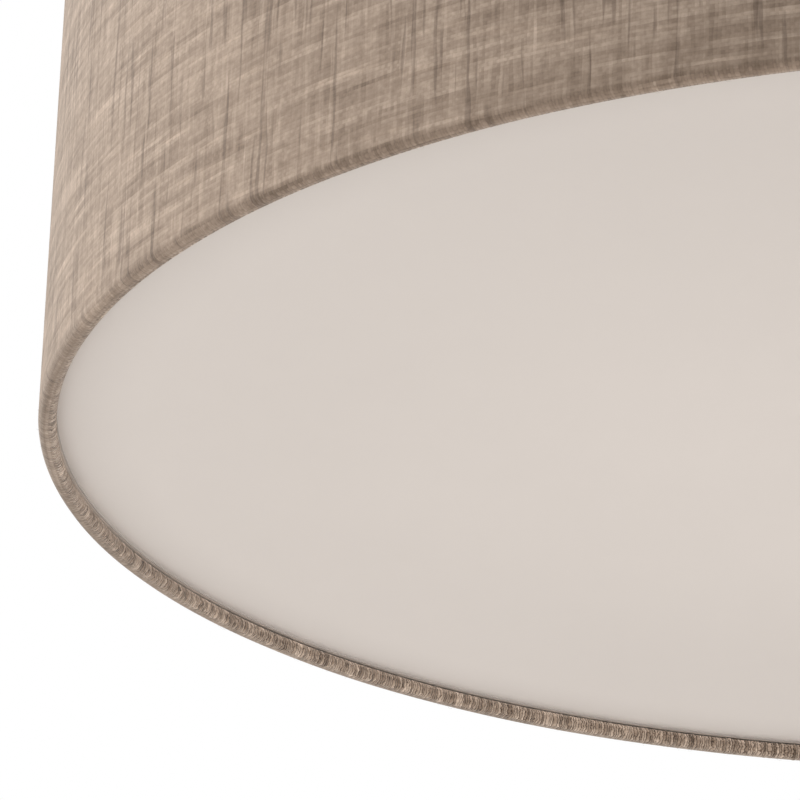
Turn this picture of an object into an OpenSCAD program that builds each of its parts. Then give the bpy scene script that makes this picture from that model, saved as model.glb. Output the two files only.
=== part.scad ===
// Drum pendant light. A linen shade with rolled rims and an opal diffuser hangs on a rigid stem,
// from a knuckle swivel under a ceiling cup. Three lamps stand out from a cluster under the spider.
// The origin is the middle of the bracket's upper face, on the ceiling, and everything is below it.

/* [Shade] */
// Outer diameter of the shade
shade_d = 600; // [540:10:700]
// Height of the shade over both rolled rims
shade_h = 200; // [180:5:260]
// Diameter of the wire of both rings
ring_wire_d = 4.7; // [4:0.1:5.5]
// Thickness of the linen
linen_t = 0.4; // [0.3:0.05:0.5]
// Thickness of the clear sheet behind the linen
liner_t = 0.4; // [0.3:0.05:0.5]
// Width over which the linen laps over itself at its seam
lap_w = 12; // [8:1:20]
// Place of the seam round the shade, from the X axis
lap_angle = 65; // [45:5:85]

/* [Diffuser] */
// Thickness of the diffuser disc
diffuser_t = 2; // [1.5:0.5:4]
// Gap between the disc's edge and the clear sheet
diffuser_gap = 1.15; // [0.8:0.05:1.6]
// Width of the soft seat tape under the disc's edge
tape_w = 3; // [2:0.5:4]
// Thickness of the seat tape
tape_t = 0.45; // [0.3:0.05:1]

/* [Spider] */
// Diameter of the three arms
arm_d = 4; // [3:0.25:4.5]
// How far the hub plate lies below the upper ring
hub_sink = 18; // [10:1:30]
// Diameter of the hub plate
hub_d = 60; // [56:1:70]
// Thickness of the hub plate
hub_t = 2; // [1.5:0.5:3]

/* [Cluster] */
// Diameter of the cluster's housing
cluster_d = 72; // [68:1:80]
// Height of the cluster's housing
cluster_h = 34; // [30:1:40]
// Wall of the cluster's housing
cluster_t = 1.5; // [1:0.25:2]

/* [Lamps] */
// Outer diameter of a lampholder
holder_d = 38; // [36:0.5:42]
// Length of a lampholder's rear cap
holder_cap_l = 22; // [19:1:26]
// Length of a lampholder's front body
holder_body_l = 34; // [33:0.5:38]
// Inner diameter of the screw shell, over the thread's crests
shell_bore_d = 27; // [26.9:0.1:27.3]
// Diameter of a bulb's screw cap
bulb_cap_d = 26.4; // [26:0.1:26.4]
// Largest diameter of a bulb
bulb_d = 60; // [55:1:70]
// Length of a bulb with its cap
bulb_l = 105; // [98:1:125]

/* [Stem] */
// Ceiling to the lowest point of the rim
total_drop = 575; // [400:5:1200]
// Outer diameter of the stem
stem_d = 13; // [12:0.5:16]
// Outer diameter of the hollow nipples
nipple_d = 10; // [9.5:0.1:10]
// Wireway through the nipples
wireway_d = 7.5; // [6.5:0.1:8]
// Width over the flats of the hexagon nuts
nut_w = 14; // [13:0.5:15]

/* [Swivel] */
// Diameter of the swivel
swivel_d = 28; // [27:0.5:32]
// Thickness of each of its ears
ear_t = 4; // [3:0.25:4]
// Slot between the inner ears, for the wires
wire_slot = 7.2; // [6:0.2:7.6]
// Radius of the outer ears round the pivot
ear_r = 10; // [9:0.5:11]
// Diameter of the pivot screws' shanks
pivot_d = 5; // [4:0.25:6]

/* [Ceiling] */
// Diameter of the canopy
canopy_d = 120; // [110:1:150]
// Height of the canopy
canopy_h = 28; // [28:1:40]
// Sheet of the canopy
canopy_t = 1; // [0.8:0.1:1.5]
// Outer radius of the canopy's lower edge
canopy_edge_r = 6; // [3:0.5:6]
// Width of the bracket's strap
strap_w = 24; // [22:1:30]
// Thickness of the bracket's strap
strap_t = 2; // [1.5:0.25:2.5]
// Distance between the two slots for the ceiling screws
slot_spacing = 84; // [78:1:86]
// Width of these slots
slot_w = 4.6; // [4.2:0.1:5.5]
// Length of these slots from end to end
slot_l = 12; // [8:1:14]

/* [Hidden] */
$fn = 96;
big_fn = 240;
cut = 1;

// Clearances
thread_gap = 0.05;
running_gap = 0.05;
moving_gap = 0.3;
glue_gap = 0.05;
wrap_gap = 0.05;

// Counts and places round the shade
lamp_count = 3;
lamp_step = 360 / lamp_count;
first_lamp = 30;
first_arm = first_lamp + lamp_step / 2;

// The seam's lap round the shade, in degrees
lap_turn = lap_w / (shade_d / 2) * 180 / PI;

// Rolled rims: the wire, a trace of air and the linen round it
roll_r = ring_wire_d / 2 + wrap_gap + linen_t;
ring_r = shade_d / 2 - roll_r;
low_ring_z = -total_drop + roll_r;
top_ring_z = -total_drop + shade_h - roll_r;

// The clear sheet stands on the lower roll and ends under the upper one
liner_outer_r = shade_d / 2 - linen_t - glue_gap;
liner_inner_r = liner_outer_r - liner_t;
liner_rise = sqrt(pow(roll_r, 2) - pow(liner_inner_r - ring_r, 2)) + glue_gap;

// The diffuser lies on the lower roll with its seat tape
seat_gap = 0.2;
diffuser_r = liner_inner_r - diffuser_gap;
tape_z = low_ring_z + roll_r + seat_gap;
diffuser_z = tape_z + tape_t;
edge_chamfer = 0.3;

// Spider: the arms lie on the hub plate and rise to the upper ring
hub_top_z = top_ring_z - hub_sink;
arm_inset = 8;
arm_start_r = hub_d / 2 - arm_inset;
weld_sink = 0.3;
weld_gap = 0.1;
arm_start_z = hub_top_z + arm_d / 2 - weld_sink;
arm_end_r = ring_r - ring_wire_d / 2 - weld_gap;
arm_run = arm_end_r - arm_start_r;
arm_rise = top_ring_z - arm_start_z;
arm_l = norm([arm_run, arm_rise]);
arm_tilt = atan2(arm_run, arm_rise);
slit_gap = 0.2;
slit_l = 8;

// Stack on the hub plate: cup, collar and stem, and the cluster under it
stem_bore_d = nipple_d + 2 * thread_gap;
hub_cap_d = 2 * arm_start_r - 4;
hub_cap_h = 10;
hub_cap_t = 1;
hub_cap_edge_r = 3;
collar_d = stem_d + 8;
collar_h = 10;
collar_groove = 0.8;
stem_end_z = hub_top_z + hub_cap_h + collar_h;
cluster_top_z = hub_top_z - hub_t;
cluster_low_z = cluster_top_z - cluster_h;
cluster_edge_r = 4;
lamp_z = cluster_top_z - cluster_h / 2;
cover_t = 1.5;
cover_low_z = cluster_low_z - cover_t;
finial_d = 18;
finial_h = 10;
finial_wall = 3.5;
nut_t = 3;
nut_corner_r = nut_w / 2 / cos(30);
grip = 12;
low_nipple_top_z = stem_end_z + grip;
low_nipple_low_z = cover_low_z - (finial_h - finial_wall);

// Lampholders lie along the radius; the figures here are distances from the shade's axis
lamp_nut_a = sqrt(pow(cluster_d / 2 - cluster_t, 2) - pow(nut_corner_r, 2)) - glue_gap - nut_t;
holder_a = cluster_d / 2 + glue_gap;
lamp_nipple_a = lamp_nut_a - 2;
lamp_nipple_end_a = holder_a + 8;
neck_d = 16;
neck_l = 4;
shoulder_r = 7;
holder_wall = 1.8;
rib_count = 24;
rib_groove_r = 1.1;
rib_depth = 0.6;
rib_inset = 1.5;
holder_body_a = holder_a + holder_cap_l;
holder_floor = 6;
holder_step = 1.2;
holder_lip = 2;
shell_t = 0.5;
shell_floor_d = 10;
shell_a = holder_body_a + holder_floor;
shell_l = holder_body_l - holder_floor - 3;
shell_air = 0.5;
contact_d = 7;
contact_t = 1.2;
bulb_a = shell_a + contact_t + moving_gap;
tip_d = 9;
tip_l = 1;
insulator_d = 21;
insulator_l = 4;
cap_shoulder_l = 2;
cap_l = 26;
cap_wall = 0.5;
base_d = 27.5;
base_l = 22;
globe_wall = 1;
base_gap = 0.05;
neck_a = bulb_a + cap_l + base_l;
globe_neck_r = 21;
globe_r = bulb_d / 2;
globe_a = bulb_a + bulb_l - globe_r;
globe_touch = atan2(globe_neck_r, globe_a - neck_a)
  + acos(globe_r / norm([globe_neck_r, globe_a - neck_a]));

// Ceiling bracket: an offset strap whose flats touch the ceiling
pad_drop = 10;
pad_half = 18;
flat_start = 30;
tab_inset = 3;
tab_x = canopy_d / 2 - canopy_t - tab_inset;
tab_drop = 20;
bend_r = 2.5;
bend_steps = 5;
pad_low_z = -pad_drop - strap_t;
tongue_w = 24;
tongue_l = 26;
side_screw_z = -12;
side_screw_d = 4;
side_hole_gap = 0.2;

// Canopy and its bush
canopy_low_z = -canopy_h;
bush_d = 16;
bush_flange_d = 20;
bush_flange_t = 1.5;
bush_rise = 2;

// Swivel: the nipple carries it on a round nut
collar_gap = 0.5;
fork_top_z = canopy_low_z - bush_flange_t - collar_gap;
fork_collar_h = 6.5;
fork_low_z = fork_top_z - fork_collar_h;
swivel_nut_d = 15;
swivel_nut_h = 3.5;
nut_slot_w = 2;
nut_slot_deep = 1.5;
swivel_nut_z = fork_low_z - moving_gap - swivel_nut_h;
ceiling_nipple_top_z = -5;
ceiling_nipple_low_z = swivel_nut_z - thread_gap;
inner_ear_x = wire_slot / 2;
ear_side_gap = 0.4;
outer_ear_x = inner_ear_x + ear_t + ear_side_gap;
inner_ear_r = ear_r - 1;
pivot_air = 2.7;
pivot_z = swivel_nut_z - inner_ear_r - pivot_air;
swing_gap = 1;
knuckle_top_z = pivot_z - ear_r - swing_gap;
knuckle_rim_h = 5;
knuckle_cone_h = 11;
knuckle_low_d = stem_d + 3;
knuckle_low_z = knuckle_top_z - knuckle_rim_h - knuckle_cone_h;
chamfer = 0.8;
screw_head_d = 8.4;
screw_head_h = 2.4;
screw_slot_w = 1.1;
screw_slot_deep = 1;

// Terminal block under the tongue, and the earth screw
poles = 3;
pole_step = 8;
pole_r = 3.6;
block_l = 16;
block_base_h = 3;
turret_r = 3;
turret_h = 11;
wire_hole_d = 2.8;
block_y = -28;
earth_x = 14;
earth_d = 4;
earth_head_d = 7;
earth_head_h = 2.4;

REPEATED = ["lampholder_cap", "lampholder_body", "screw_shell", "centre_contact",
  "bulb_cap", "bulb_base", "bulb_globe"];

// A strap of even thickness along a path, its two sides found from the path's own normals
function unit(v) = v / norm(v);
function left_of(v) = [-v[1], v[0]];
function path_normal(path, i) =
  let (last = len(path) - 1)
  let (before = unit(path[max(i, 1)] - path[max(i, 1) - 1]))
  let (after = unit(path[min(i + 1, last)] - path[min(i + 1, last) - 1]))
  left_of(unit(before + after)) / cos(acos(min(1, before * after)) / 2);
function strap_outline(path, thickness) = concat(
  [for (i = [0:len(path) - 1]) path[i] + path_normal(path, i) * thickness / 2],
  [for (i = [len(path) - 1:-1:0]) path[i] - path_normal(path, i) * thickness / 2]
);

// A corner of a path, turned into an arc of a given radius
function arc_corner(a, b, c, radius, steps) =
  let (from = unit(a - b), to = unit(c - b))
  let (half = acos(from * to) / 2)
  let (centre = b + unit(from + to) * radius / sin(half))
  let (start = b + from * radius / tan(half) - centre)
  let (turn = (from[0] * to[1] - from[1] * to[0] > 0 ? -1 : 1) * (180 - 2 * half))
  [for (i = [0:steps])
    let (t = turn * i / steps)
    centre + [start[0] * cos(t) - start[1] * sin(t), start[0] * sin(t) + start[1] * cos(t)]];
function rounded_path(points, radius, steps) = concat(
  [points[0]],
  [for (i = [1:len(points) - 2])
    each arc_corner(points[i - 1], points[i], points[i + 1], radius, steps)],
  [points[len(points) - 1]]
);

module tube(outer_d, inner_d, length) {
  difference() {
    cylinder(d = outer_d, h = length);
    translate([0, 0, -cut]) cylinder(d = inner_d, h = length + 2 * cut);
  }
}

module hex_nut(width, thickness, bore_d) {
  corner_r = width / 2 / cos(30);
  bevel = (corner_r - width / 2) * tan(30);
  difference() {
    intersection() {
      cylinder(r = corner_r, h = thickness, $fn = 6);
      rotate_extrude() polygon([
        [0, 0], [width / 2, 0], [corner_r + bevel, 2 * bevel],
        [corner_r + bevel, thickness - 2 * bevel], [width / 2, thickness], [0, thickness]
      ]);
    }
    translate([0, 0, -cut]) cylinder(d = bore_d, h = thickness + 2 * cut);
  }
}

// Half of an upright rectangle with its lower outer corner rounded
module rounded_half(radius, height, edge_r) {
  square([radius - edge_r, height]);
  translate([0, edge_r]) square([radius, height - edge_r]);
  intersection() {
    translate([radius - edge_r, edge_r]) circle(r = edge_r);
    square([radius, height]);
  }
}

// A sheet cup that opens upwards, with a round hole in its floor
module cup(outer_d, height, wall, edge_r, hole_d) {
  rotate_extrude($fn = big_fn) difference() {
    rounded_half(outer_d / 2, height, edge_r);
    translate([0, wall]) rounded_half(outer_d / 2 - wall, height, edge_r - wall);
    translate([-cut, -cut]) square([hole_d / 2 + cut, height + 2 * cut]);
  }
}

module slotted_screw(shank_d, shank_l, head_d, head_h) {
  difference() {
    union() {
      cylinder(d = head_d, h = head_h);
      translate([0, 0, head_h]) cylinder(d = shank_d, h = shank_l);
    }
    translate([-head_d, -screw_slot_w / 2, -cut]) cube([2 * head_d, screw_slot_w, screw_slot_deep + cut]);
  }
}

// Puts its children on lamp number i, their own Z axis pointing out along the radius
module at_lamp(i) {
  translate([0, 0, lamp_z]) rotate([0, 90, first_lamp + (i - 1) * lamp_step]) children();
}

// The line of spider arm number i, from the hub plate outwards
module along_arm(i) {
  rotate([0, 0, first_arm + (i - 1) * lamp_step])
    translate([arm_start_r, 0, arm_start_z]) rotate([0, arm_tilt, 0]) children();
}

module ceiling_bracket() {
  middle_z = -strap_t / 2;
  half = [[pad_half, middle_z - pad_drop], [flat_start, middle_z], [tab_x, middle_z],
    [tab_x, -tab_drop]];
  path = concat(
    [for (i = [len(half) - 1:-1:0]) [-half[i][0], half[i][1]]],
    half
  );
  color("silver") difference() {
    union() {
      rotate([90, 0, 0]) linear_extrude(strap_w, center = true)
        polygon(strap_outline(rounded_path(path, bend_r, bend_steps), strap_t));
      translate([-tongue_w / 2, -strap_w / 2 - tongue_l, pad_low_z])
        cube([tongue_w, tongue_l + cut, strap_t]);
    }
    for (side = [-1, 1]) {
      for (end = [-1, 1])
        translate([side * slot_spacing / 2 + end * (slot_l - slot_w) / 2, 0, -strap_t - cut])
          cylinder(d = slot_w, h = strap_t + 2 * cut);
      translate([side * slot_spacing / 2 - (slot_l - slot_w) / 2, -slot_w / 2, -strap_t - cut])
        cube([slot_l - slot_w, slot_w, strap_t + 2 * cut]);
      translate([side * (tab_x - strap_t), 0, side_screw_z]) rotate([0, side * 90, 0])
        cylinder(d = side_screw_d + 2 * thread_gap, h = 2 * strap_t);
    }
    translate([0, 0, pad_low_z - cut]) cylinder(d = nipple_d + 2 * thread_gap, h = strap_t + 2 * cut);
    translate([earth_x, 0, pad_low_z - cut]) cylinder(d = earth_d + 2 * thread_gap, h = strap_t + 2 * cut);
  }
}

module bracket_nuts() {
  color("gainsboro") {
    translate([0, 0, -pad_drop]) hex_nut(nut_w, nut_t, stem_bore_d);
    translate([0, 0, pad_low_z - nut_t]) hex_nut(nut_w, nut_t, stem_bore_d);
  }
}

module ceiling_nipple() {
  color("gainsboro") translate([0, 0, ceiling_nipple_low_z])
    tube(nipple_d, wireway_d, ceiling_nipple_top_z - ceiling_nipple_low_z);
}

module canopy() {
  color("whitesmoke") difference() {
    translate([0, 0, canopy_low_z])
      cup(canopy_d, canopy_h, canopy_t, canopy_edge_r, bush_d + 2 * thread_gap);
    for (side = [-1, 1])
      translate([side * (canopy_d / 2 - 2 * canopy_t), 0, side_screw_z]) rotate([0, side * 90, 0])
        cylinder(d = side_screw_d + 2 * side_hole_gap, h = 3 * canopy_t);
  }
}

module canopy_bush() {
  color("white") translate([0, 0, canopy_low_z]) difference() {
    union() {
      translate([0, 0, -bush_flange_t]) cylinder(d = bush_flange_d, h = bush_flange_t);
      cylinder(d = bush_d, h = canopy_t + bush_rise);
    }
    translate([0, 0, -bush_flange_t - cut])
      cylinder(d = nipple_d + 4 * thread_gap, h = bush_flange_t + canopy_t + bush_rise + 2 * cut);
  }
}

module canopy_screws() {
  head_l = 5;
  head_w = 9;
  bevel = 0.5;
  shank_l = tab_inset + canopy_t + strap_t + 1;
  color("gainsboro") for (side = [-1, 1])
    translate([side * (canopy_d / 2 + glue_gap), 0, side_screw_z]) rotate([0, side * 90, 0]) {
      rotate_extrude() polygon([
        [0, 0], [head_w / 2 - bevel, 0], [head_w / 2, bevel], [head_w / 2, head_l - bevel],
        [head_w / 2 - bevel, head_l], [0, head_l]
      ]);
      translate([0, 0, -shank_l]) cylinder(d = side_screw_d, h = shank_l);
    }
}

module terminal_block() {
  width = (poles - 1) * pole_step + 2 * pole_r;
  color("ivory") translate([0, block_y, pad_low_z]) difference() {
    union() {
      translate([-width / 2, -block_l / 4, -block_base_h]) cube([width, block_l / 2, block_base_h]);
      for (i = [0:poles - 1]) translate([(i - (poles - 1) / 2) * pole_step, 0, 0]) {
        translate([0, block_l / 2, -pole_r]) rotate([90, 0, 0]) cylinder(r = pole_r, h = block_l);
        translate([0, 0, -turret_h]) cylinder(r = turret_r, h = turret_h - pole_r);
      }
    }
    for (i = [0:poles - 1]) translate([(i - (poles - 1) / 2) * pole_step, 0, 0]) {
      translate([0, block_l / 2 + cut, -pole_r]) rotate([90, 0, 0])
        cylinder(d = wire_hole_d, h = block_l + 2 * cut);
      translate([0, 0, -turret_h - cut]) cylinder(r = turret_r - 1, h = turret_h - pole_r + cut);
    }
  }
}

module earth_screw() {
  color("gold") translate([earth_x, 0, pad_low_z - earth_head_h])
    slotted_screw(earth_d, strap_t + 3, earth_head_d, earth_head_h);
}

module swivel_nut() {
  color("gainsboro") translate([0, 0, swivel_nut_z]) difference() {
    tube(swivel_nut_d, stem_bore_d, swivel_nut_h);
    for (side = [-1, 1]) translate([side * swivel_nut_d / 2 - nut_slot_deep, -nut_slot_w / 2, -cut])
      cube([2 * nut_slot_deep, nut_slot_w, swivel_nut_h + 2 * cut]);
  }
}

// Both halves of the knuckle are trimmed to one round outline
module swivel_round(top_z, low_z) {
  translate([0, 0, low_z]) cylinder(d = swivel_d, h = top_z - low_z);
}

module ear(x, thickness, radius, reach) {
  translate([x, 0, pivot_z]) {
    rotate([0, 90, 0]) cylinder(r = radius, h = thickness);
    translate([0, -radius, min(0, reach)]) cube([thickness, 2 * radius, abs(reach)]);
  }
}

module swivel_top() {
  color("gainsboro") difference() {
    intersection() {
      union() {
        translate([0, 0, fork_low_z]) rotate_extrude() polygon([
          [0, 0], [swivel_d / 2, 0], [swivel_d / 2, fork_collar_h - chamfer],
          [swivel_d / 2 - chamfer, fork_collar_h], [0, fork_collar_h]
        ]);
        for (x = [outer_ear_x, -outer_ear_x - ear_t]) ear(x, ear_t, ear_r, fork_low_z - pivot_z);
      }
      swivel_round(fork_top_z, pivot_z - ear_r);
    }
    translate([0, 0, fork_low_z - cut])
      cylinder(d = nipple_d + 2 * running_gap, h = fork_collar_h + 2 * cut);
    translate([-swivel_d, 0, pivot_z]) rotate([0, 90, 0])
      cylinder(d = pivot_d + 2 * thread_gap, h = 2 * swivel_d);
  }
}

module pivot_screws() {
  head_x = outer_ear_x + ear_t;
  color("gainsboro") for (side = [-1, 1])
    translate([side * (head_x + screw_head_h), 0, pivot_z]) rotate([0, -side * 90, 0])
      slotted_screw(pivot_d, head_x - inner_ear_x, screw_head_d, screw_head_h);
}

module swivel_bottom() {
  color("gainsboro") difference() {
    union() {
      translate([0, 0, knuckle_low_z]) rotate_extrude() polygon([
        [0, 0], [knuckle_low_d / 2, 0], [swivel_d / 2, knuckle_cone_h],
        [swivel_d / 2, knuckle_cone_h + knuckle_rim_h - chamfer],
        [swivel_d / 2 - chamfer, knuckle_cone_h + knuckle_rim_h],
        [0, knuckle_cone_h + knuckle_rim_h]
      ]);
      for (x = [inner_ear_x, -inner_ear_x - ear_t])
        ear(x, ear_t, inner_ear_r, knuckle_top_z - chamfer - pivot_z);
    }
    translate([0, 0, knuckle_low_z - cut]) cylinder(d = stem_bore_d, h = grip + cut);
    translate([0, 0, knuckle_low_z - cut])
      cylinder(d = wire_slot, h = knuckle_rim_h + knuckle_cone_h + 2 * cut);
    translate([-swivel_d, 0, pivot_z]) rotate([0, 90, 0])
      cylinder(d = pivot_d + 2 * running_gap, h = 2 * swivel_d);
  }
}

module upper_nipple() {
  color("gainsboro") translate([0, 0, knuckle_low_z - grip])
    tube(nipple_d, wireway_d, 2 * grip - thread_gap);
}

module stem_tube() {
  color("gainsboro") translate([0, 0, stem_end_z])
    tube(stem_d, stem_bore_d, knuckle_low_z - stem_end_z);
}

module stem_collar() {
  color("gainsboro") translate([0, 0, hub_top_z + hub_cap_h]) difference() {
    rotate_extrude() polygon([
      [stem_bore_d / 2, 0], [collar_d / 2 - chamfer, 0], [collar_d / 2, chamfer],
      [collar_d / 2, collar_h - 3 * chamfer], [stem_d / 2 + chamfer, collar_h],
      [stem_bore_d / 2, collar_h]
    ]);
    translate([0, 0, collar_h / 3]) rotate_extrude()
      translate([collar_d / 2, 0]) circle(r = collar_groove);
  }
}

module hub_cap() {
  color("gainsboro") translate([0, 0, hub_top_z + hub_cap_h]) mirror([0, 0, 1])
    cup(hub_cap_d, hub_cap_h, hub_cap_t, hub_cap_edge_r, stem_bore_d);
}

module lower_nipple() {
  length = low_nipple_top_z - low_nipple_low_z;
  color("gainsboro") difference() {
    translate([0, 0, low_nipple_low_z]) tube(nipple_d, wireway_d, length);
    // Side hole, where the wires leave for the lampholders
    translate([0, 0, lamp_z]) rotate([0, 90, first_arm]) cylinder(d = 5, h = nipple_d);
  }
}

module spider() {
  color("white") difference() {
    union() {
      translate([0, 0, cluster_top_z]) cylinder(d = hub_d, h = hub_t);
      for (i = [1:lamp_count]) along_arm(i) cylinder(d = arm_d, h = arm_l);
    }
    translate([0, 0, cluster_top_z - cut]) cylinder(d = stem_bore_d, h = hub_t + 2 * cut);
  }
}

module wire_ring(z) {
  translate([0, 0, z]) rotate_extrude($fn = big_fn) translate([ring_r, 0]) circle(d = ring_wire_d);
}

module top_ring() {
  color("white") wire_ring(top_ring_z);
}

module bottom_ring() {
  color("white") wire_ring(low_ring_z);
}

module shade_liner() {
  color("white") translate([0, 0, low_ring_z + liner_rise]) rotate_extrude($fn = big_fn)
    translate([liner_inner_r, 0]) square([liner_t, top_ring_z - low_ring_z - 2 * liner_rise]);
}

// The linen: an upright wall that is wrapped round the wire at both rims. It laps over itself at
// its seam, and the upper roll is slit on its inner side where the arms reach their ring.
module shade_cover() {
  color("rosybrown") difference() {
    union() {
      rotate_extrude($fn = big_fn) difference() {
        union() {
          translate([shade_d / 2 - linen_t, low_ring_z]) square([linen_t, top_ring_z - low_ring_z]);
          for (z = [low_ring_z, top_ring_z]) translate([ring_r, z]) circle(r = roll_r);
        }
        for (z = [low_ring_z, top_ring_z]) translate([ring_r, z]) circle(r = roll_r - linen_t);
      }
      rotate([0, 0, lap_angle]) rotate_extrude(angle = lap_turn, $fn = big_fn)
        translate([shade_d / 2 - linen_t / 2, low_ring_z])
          square([linen_t * 3 / 2, top_ring_z - low_ring_z]);
    }
    for (i = [1:lamp_count]) along_arm(i) translate([0, 0, arm_l - slit_l])
      cylinder(d = arm_d + 2 * slit_gap, h = slit_l + weld_gap);
  }
}

module cluster_body() {
  color("white") difference() {
    translate([0, 0, cluster_top_z]) mirror([0, 0, 1])
      cup(cluster_d, cluster_h, cluster_t, cluster_edge_r, stem_bore_d);
    for (i = [1:lamp_count]) at_lamp(i) translate([0, 0, cluster_d / 2 - 4 * cluster_t])
      cylinder(d = nipple_d + 2 * thread_gap, h = 5 * cluster_t);
  }
}

module cluster_nut() {
  color("gainsboro") translate([0, 0, cluster_top_z - cluster_t - nut_t])
    hex_nut(nut_w, nut_t, stem_bore_d);
}

module cluster_cover() {
  spigot_h = 2;
  spigot_t = 1.2;
  color("white") difference() {
    union() {
      translate([0, 0, cover_low_z]) cylinder(d = cluster_d, h = cover_t);
      translate([0, 0, cluster_low_z]) cylinder(d = cluster_d - 2 * cluster_t - 2 * glue_gap, h = spigot_h);
    }
    translate([0, 0, cluster_low_z])
      cylinder(d = cluster_d - 2 * cluster_t - 2 * spigot_t, h = spigot_h + cut);
    translate([0, 0, cover_low_z - cut]) cylinder(d = stem_bore_d, h = cover_t + 2 * cut);
  }
}

module cover_finial() {
  color("gainsboro") translate([0, 0, cover_low_z - finial_h]) rotate_extrude() difference() {
    rounded_half(finial_d / 2, finial_h, finial_d / 4);
    translate([-cut, finial_wall - thread_gap]) square([stem_bore_d / 2 + cut, finial_h]);
  }
}

module lamp_nipples() {
  color("gainsboro") for (i = [1:lamp_count]) at_lamp(i) translate([0, 0, lamp_nipple_a])
    tube(nipple_d, wireway_d, lamp_nipple_end_a - lamp_nipple_a);
}

module lamp_nuts() {
  color("gainsboro") for (i = [1:lamp_count]) at_lamp(i) translate([0, 0, lamp_nut_a])
    hex_nut(nut_w, nut_t, stem_bore_d);
}

// A domed cup on a neck. The grooves between its grip ribs run out through the round shoulder.
module lampholder_cap() {
  outer_r = holder_d / 2;
  cup_l = holder_cap_l - neck_l;
  groove_l = cup_l - rib_inset;
  color("white") translate([0, 0, holder_a]) difference() {
    rotate_extrude() difference() {
      union() {
        square([neck_d / 2, neck_l + holder_wall]);
        translate([0, neck_l]) rounded_half(outer_r, cup_l, shoulder_r);
      }
      translate([0, neck_l + holder_wall])
        rounded_half(outer_r - holder_wall, cup_l, shoulder_r - holder_wall);
      translate([-cut, -cut]) square([stem_bore_d / 2 + cut, holder_cap_l]);
    }
    for (i = [1:rib_count]) rotate([0, 0, i * 360 / rib_count])
      translate([outer_r + rib_groove_r - rib_depth, 0, neck_l])
        cylinder(r = rib_groove_r, h = groove_l);
  }
}

module lampholder_body() {
  outer_r = holder_d / 2;
  mouth_r = shell_bore_d / 2 + shell_t + shell_air;
  color("white") translate([0, 0, holder_body_a]) rotate_extrude() polygon([
    [0, 0], [outer_r, 0], [outer_r, holder_floor - holder_lip],
    [outer_r - holder_step, holder_floor], [outer_r - holder_step, holder_body_l - holder_lip],
    [outer_r - holder_step / 2, holder_body_l], [mouth_r, holder_body_l],
    [mouth_r, holder_floor], [0, holder_floor]
  ]);
}

module screw_shell() {
  inner_r = shell_bore_d / 2;
  color("gold") translate([0, 0, shell_a]) rotate_extrude() polygon([
    [shell_floor_d / 2, 0], [inner_r + shell_t, 0], [inner_r + shell_t, shell_l],
    [inner_r, shell_l], [inner_r, shell_t], [shell_floor_d / 2, shell_t]
  ]);
}

module centre_contact() {
  color("gold") translate([0, 0, shell_a]) cylinder(d = contact_d, h = contact_t);
}

module bulb_cap() {
  inner_r = bulb_cap_d / 2 - cap_wall;
  color("silver") translate([0, 0, bulb_a]) rotate_extrude() polygon([
    [0, 0], [tip_d / 2, 0], [tip_d / 2, tip_l], [insulator_d / 2, insulator_l],
    [bulb_cap_d / 2, insulator_l + cap_shoulder_l], [bulb_cap_d / 2, cap_l], [inner_r, cap_l],
    [inner_r, insulator_l + cap_shoulder_l], [0, insulator_l]
  ]);
}

module bulb_base() {
  color("white") translate([0, 0, bulb_a + cap_l]) rotate_extrude() polygon([
    [0, 0], [base_d / 2, 0], [base_d / 2, base_l / 4], [globe_neck_r, base_l - base_gap],
    [0, base_l - base_gap]
  ]);
}

// Half outline of the envelope, drawn in by one wall: a sphere with a cone that touches it
module globe_half(wall, start_a) {
  touch = [(globe_r - wall) * sin(globe_touch), globe_a - (globe_r - wall) * cos(globe_touch)];
  intersection() {
    translate([0, globe_a]) circle(r = globe_r - wall);
    translate([0, touch[1]]) square([globe_r, globe_a + globe_r - touch[1]]);
  }
  polygon([[0, start_a], [globe_neck_r - wall, start_a], touch, [0, touch[1]]]);
}

module bulb_globe() {
  color("white") rotate_extrude() difference() {
    globe_half(0, neck_a);
    globe_half(globe_wall, neck_a);
  }
}

module diffuser() {
  color("white") translate([0, 0, diffuser_z]) rotate_extrude($fn = big_fn) polygon([
    [0, 0], [diffuser_r - edge_chamfer, 0], [diffuser_r, edge_chamfer],
    [diffuser_r, diffuser_t - edge_chamfer], [diffuser_r - edge_chamfer, diffuser_t],
    [0, diffuser_t]
  ]);
}

module seat_tape() {
  outer_r = diffuser_r - edge_chamfer;
  color("tan") translate([0, 0, tape_z]) rotate_extrude($fn = big_fn)
    translate([outer_r - tape_w, 0]) square([tape_w, tape_t]);
}

ceiling_bracket();
bracket_nuts();
ceiling_nipple();
canopy();
canopy_bush();
canopy_screws();
terminal_block();
earth_screw();
swivel_nut();
swivel_top();
pivot_screws();
swivel_bottom();
upper_nipple();
stem_tube();
stem_collar();
hub_cap();
lower_nipple();
spider();
top_ring();
bottom_ring();
shade_liner();
shade_cover();
cluster_body();
cluster_nut();
cluster_cover();
cover_finial();
lamp_nipples();
lamp_nuts();
diffuser();
seat_tape();
for (i = [1:lamp_count]) {
  at_lamp(i) lampholder_cap();
  at_lamp(i) lampholder_body();
  at_lamp(i) screw_shell();
  at_lamp(i) centre_contact();
  at_lamp(i) bulb_cap();
  at_lamp(i) bulb_base();
  at_lamp(i) bulb_globe();
}
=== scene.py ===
import bmesh
import bpy
import numpy as np
from bpy.props import FloatProperty, FloatVectorProperty, IntProperty, PointerProperty
from mathutils import Matrix, Vector


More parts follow.
